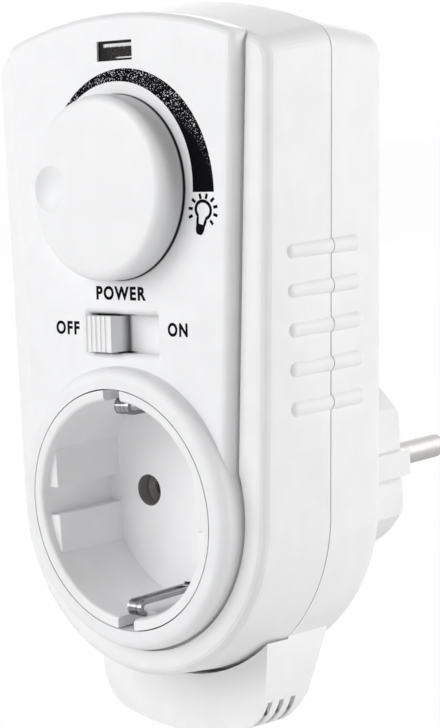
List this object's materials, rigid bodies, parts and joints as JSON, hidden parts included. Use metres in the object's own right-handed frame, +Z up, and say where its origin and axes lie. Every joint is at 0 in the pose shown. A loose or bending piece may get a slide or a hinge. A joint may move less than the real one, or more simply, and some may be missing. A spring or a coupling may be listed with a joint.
{
  "type": "plug-in dimmer",
  "caption": "Plug-in dimmer: a leaning white housing with an earthed round socket, a rotary dimming knob and an on/off slide switch in front, and an earthed two-pin plug behind.",
  "frame": {"origin": "middle of the plug's face, halfway between the two pins", "axes": "+X to the right seen from the front, +Y along the pins out of the plug, +Z up; the front faces -Y"},
  "size_m": [0.0674, 0.0823, 0.1319],
  "materials": {
    "white_shell": "fine satin moulding",
    "white_panel": "smooth satin moulding",
    "grey_plastic": "moulded",
    "black_plastic": "moulded",
    "brass": "stamped",
    "plated_steel": "nickel plated",
    "pin_metal": "nickel plated brass, turned",
    "brown_lead": "insulation",
    "blue_lead": "insulation",
    "board": "lacquered laminate",
    "dark_lens": "smoked clear moulding",
    "lamp_glass": "clear glass",
    "sink_metal": "cut sheet",
    "cap_plastic": "dipped",
    "copper_wire": "enamelled"
  },
  "bodies": {
    "housing": {"front_shell": "white_shell", "front_panel": "white_panel", "rear_shell": "white_shell", "socket_insert": "white_panel", "contact_carrier": "grey_plastic", "live_contact": "brass", "neutral_contact": "brass", "earth_bow": "plated_steel", "plug_earth_bow": "plated_steel", "earth_post": "brass", "live_pin": "pin_metal", "neutral_pin": "pin_metal", "neutral_strip": "brass", "live_lead": "brown_lead", "load_lead": "black_plastic", "neutral_lead": "blue_lead", "circuit_board": "board", "board_screws": "plated_steel", "control_body": "grey_plastic", "control_nut": "plated_steel", "switch_body": "black_plastic", "indicator_lens": "dark_lens", "neon_lamp": "lamp_glass", "triac": "black_plastic", "heat_sink": "sink_metal", "film_capacitor": "cap_plastic", "fuse": "lamp_glass", "fuse_clips": "plated_steel", "resistors": "cap_plastic", "choke_core": "black_plastic", "choke_winding": "copper_wire", "choke_leads": "copper_wire", "insert_screws": "plated_steel", "housing_screws": "plated_steel"},
    "knob": {"dimmer_knob": "white_panel", "control_shaft": "plated_steel"},
    "slider": {"switch_slider": "white_panel", "switch_carriage": "grey_plastic"}
  },
  "joints": [
    {"name": "knob_turn", "type": "hinge", "parent": "housing", "child": "knob", "pos_m": [0, -0.05653, 0.05672], "axis": [0, 0.9986, -0.0523], "range_deg": [0, 190]},
    {"name": "switch_slide", "type": "slide", "parent": "housing", "child": "slider", "axis": [1, 0, 0], "range_m": [0, 0.0094]}
  ]
}
